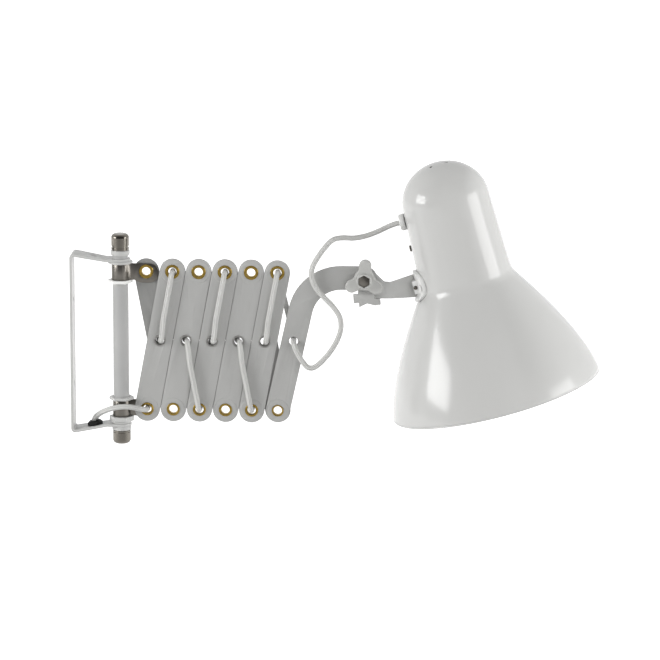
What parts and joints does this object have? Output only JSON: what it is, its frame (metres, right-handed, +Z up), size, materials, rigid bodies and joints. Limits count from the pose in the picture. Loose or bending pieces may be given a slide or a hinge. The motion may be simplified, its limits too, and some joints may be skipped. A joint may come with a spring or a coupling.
{
  "type": "accordion wall lamp",
  "caption": "Wall lamp with a bell shade on a scissor arm that folds out from a bracket and swivels round an upright tube.",
  "frame": {"origin": "centre of the bracket's wall face, midway between the two wall screw holes", "axes": "+X out of the wall along the folded arms, +Z up, +Y to the side away from the tilt knob"},
  "size_m": [0.5308, 0.214, 0.2888],
  "materials": {
    "bracket_paint": "light grey paint, satin",
    "arm_paint": "grey paint, satin",
    "tube_paint": "grey paint, satin",
    "shade_lacquer": "light grey lacquer, satin gloss",
    "nickel": "nickel plate, polished",
    "dark_steel": "dark plated steel",
    "brass": "yellow plated eyelet",
    "rivet_grey": "grey plated eyelet",
    "rubber": "matt",
    "knob_plastic": "moulded, satin",
    "white_plastic": "moulded, satin",
    "cord_sheath": "soft sheath with fine ribs along it"
  },
  "bodies": {
    "wall_mount": {"wall_bracket": "bracket_paint", "spindle_tube": "tube_paint", "top_cap": "nickel", "bottom_cap": "nickel", "top_ring_nut": "bracket_paint", "bottom_ring_nut": "bracket_paint", "top_washer": "bracket_paint", "bottom_washer": "bracket_paint", "lower_thrust_nut": "bracket_paint", "lower_collar": "bracket_paint", "cord_grommet": "rubber", "wall_cord": "cord_sheath"},
    "lower_swivel": {"lower_hinge_tab": "dark_steel"},
    "front_arm_1": {"front_arm_1": "arm_paint", "arm_eyelets_1": "brass", "mid_rivet_1": "rivet_grey", "laced_cord_1": "cord_sheath"},
    "back_arm_1": {"back_arm_1": "arm_paint"},
    "front_arm_2": {"front_arm_2": "arm_paint", "arm_eyelets_2": "brass", "mid_rivet_2": "rivet_grey"},
    "back_arm_2": {"back_arm_2": "arm_paint", "laced_cord_2": "cord_sheath"},
    "front_arm_3": {"front_arm_3": "arm_paint", "arm_eyelets_3": "brass", "mid_rivet_3": "rivet_grey", "laced_cord_3": "cord_sheath"},
    "back_arm_3": {"back_arm_3": "arm_paint"},
    "front_arm_4": {"front_arm_4": "arm_paint", "arm_eyelets_4": "brass", "mid_rivet_4": "rivet_grey"},
    "back_arm_4": {"back_arm_4": "arm_paint", "laced_cord_4": "cord_sheath"},
    "front_arm_5": {"front_arm_5": "arm_paint", "arm_eyelets_5": "brass", "mid_rivet_5": "rivet_grey", "laced_cord_5": "cord_sheath"},
    "back_arm_5": {"back_arm_5": "arm_paint"},
    "upper_swivel": {"upper_hinge_tab": "dark_steel", "upper_glide_ring": "white_plastic", "upper_tab_eyelet": "brass"},
    "head_arm": {"head_arm": "arm_paint", "head_arm_eyelet": "brass"},
    "link_cord": {"link_cord": "cord_sheath"},
    "head": {"head_strip": "arm_paint", "shade_saddle": "white_plastic", "saddle_screw": "dark_steel", "saddle_rivets": "nickel", "shade": "shade_lacquer", "cord_gland": "white_plastic", "lamp_holder": "white_plastic", "holder_bracket": "nickel", "holder_screw": "dark_steel", "knuckle_seat": "knob_plastic", "knuckle_nut": "dark_steel", "friction_washer": "rubber", "loop_cord": "cord_sheath"},
    "knob": {"tilt_knob": "knob_plastic", "knuckle_bolt": "dark_steel"}
  },
  "joints": [
    {"name": "swivel", "type": "hinge", "parent": "wall_mount", "child": "lower_swivel", "pos_m": [0.05, 0, 0], "axis": [0, 0, 1], "range_deg": [-75, 75], "deforming": ["wall_cord"]},
    {"name": "accordion_extend", "type": "hinge", "parent": "lower_swivel", "child": "front_arm_1", "pos_m": [0.0761, 0, -0.0683], "axis": [0, 1, 0], "range_deg": [0, 40]},
    {"name": "crossing_1", "type": "hinge", "parent": "front_arm_1", "child": "back_arm_1", "pos_m": [0.08927, 0, 0.00233], "axis": [0, 1, 0], "range_deg": [-80, 0]},
    {"name": "bottom_pivot_1", "type": "hinge", "parent": "back_arm_1", "child": "front_arm_2", "pos_m": [0.10245, 0, -0.0683], "axis": [0, 1, 0], "range_deg": [0, 80]},
    {"name": "crossing_2", "type": "hinge", "parent": "front_arm_2", "child": "back_arm_2", "pos_m": [0.11563, 0, 0.00233], "axis": [0, 1, 0], "range_deg": [-80, 0]},
    {"name": "bottom_pivot_2", "type": "hinge", "parent": "back_arm_2", "child": "front_arm_3", "pos_m": [0.1288, 0, -0.0683], "axis": [0, 1, 0], "range_deg": [0, 80]},
    {"name": "crossing_3", "type": "hinge", "parent": "front_arm_3", "child": "back_arm_3", "pos_m": [0.14197, 0, 0.00233], "axis": [0, 1, 0], "range_deg": [-80, 0]},
    {"name": "bottom_pivot_3", "type": "hinge", "parent": "back_arm_3", "child": "front_arm_4", "pos_m": [0.15515, 0, -0.0683], "axis": [0, 1, 0], "range_deg": [0, 80]},
    {"name": "crossing_4", "type": "hinge", "parent": "front_arm_4", "child": "back_arm_4", "pos_m": [0.16833, 0, 0.00233], "axis": [0, 1, 0], "range_deg": [-80, 0]},
    {"name": "bottom_pivot_4", "type": "hinge", "parent": "back_arm_4", "child": "front_arm_5", "pos_m": [0.1815, 0, -0.0683], "axis": [0, 1, 0], "range_deg": [0, 80]},
    {"name": "crossing_5", "type": "hinge", "parent": "front_arm_5", "child": "back_arm_5", "pos_m": [0.19467, 0, 0.00233], "axis": [0, 1, 0], "range_deg": [-80, 0]},
    {"name": "bottom_pivot_5", "type": "hinge", "parent": "back_arm_5", "child": "head_arm", "pos_m": [0.20785, 0, -0.0683], "axis": [0, 1, 0], "range_deg": [0, 80]},
    {"name": "cord_link", "type": "hinge", "parent": "head_arm", "child": "link_cord", "pos_m": [0.22386, 0, 0.00333], "axis": [0, 1, 0], "range_deg": [-80, 0]},
    {"name": "upper_slide_pivot", "type": "hinge", "parent": "back_arm_1", "child": "upper_swivel", "pos_m": [0.0761, 0, 0.07296], "axis": [0, 1, 0], "range_deg": [0, 40]},
    {"name": "head_tilt", "type": "hinge", "parent": "head_arm", "child": "head", "pos_m": [0.2954, 0, 0.0686], "axis": [0, 1, 0], "range_deg": [-75, 25], "deforming": ["loop_cord"]},
    {"name": "knob_turn", "type": "hinge", "parent": "head", "child": "knob", "pos_m": [0.2954, 0, 0.0686], "axis": [0, -1, 0], "range_deg": [0, 360]}
  ],
  "couplings": [
    {"joint": "crossing_1", "follows": "accordion_extend", "ratio": -2},
    {"joint": "bottom_pivot_1", "follows": "accordion_extend", "ratio": 2},
    {"joint": "crossing_2", "follows": "accordion_extend", "ratio": -2},
    {"joint": "bottom_pivot_2", "follows": "accordion_extend", "ratio": 2},
    {"joint": "crossing_3", "follows": "accordion_extend", "ratio": -2},
    {"joint": "bottom_pivot_3", "follows": "accordion_extend", "ratio": 2},
    {"joint": "crossing_4", "follows": "accordion_extend", "ratio": -2},
    {"joint": "bottom_pivot_4", "follows": "accordion_extend", "ratio": 2},
    {"joint": "crossing_5", "follows": "accordion_extend", "ratio": -2},
    {"joint": "bottom_pivot_5", "follows": "accordion_extend", "ratio": 1.935},
    {"joint": "cord_link", "follows": "accordion_extend", "ratio": -1.91},
    {"joint": "upper_slide_pivot", "follows": "accordion_extend", "ratio": 1}
  ]
}
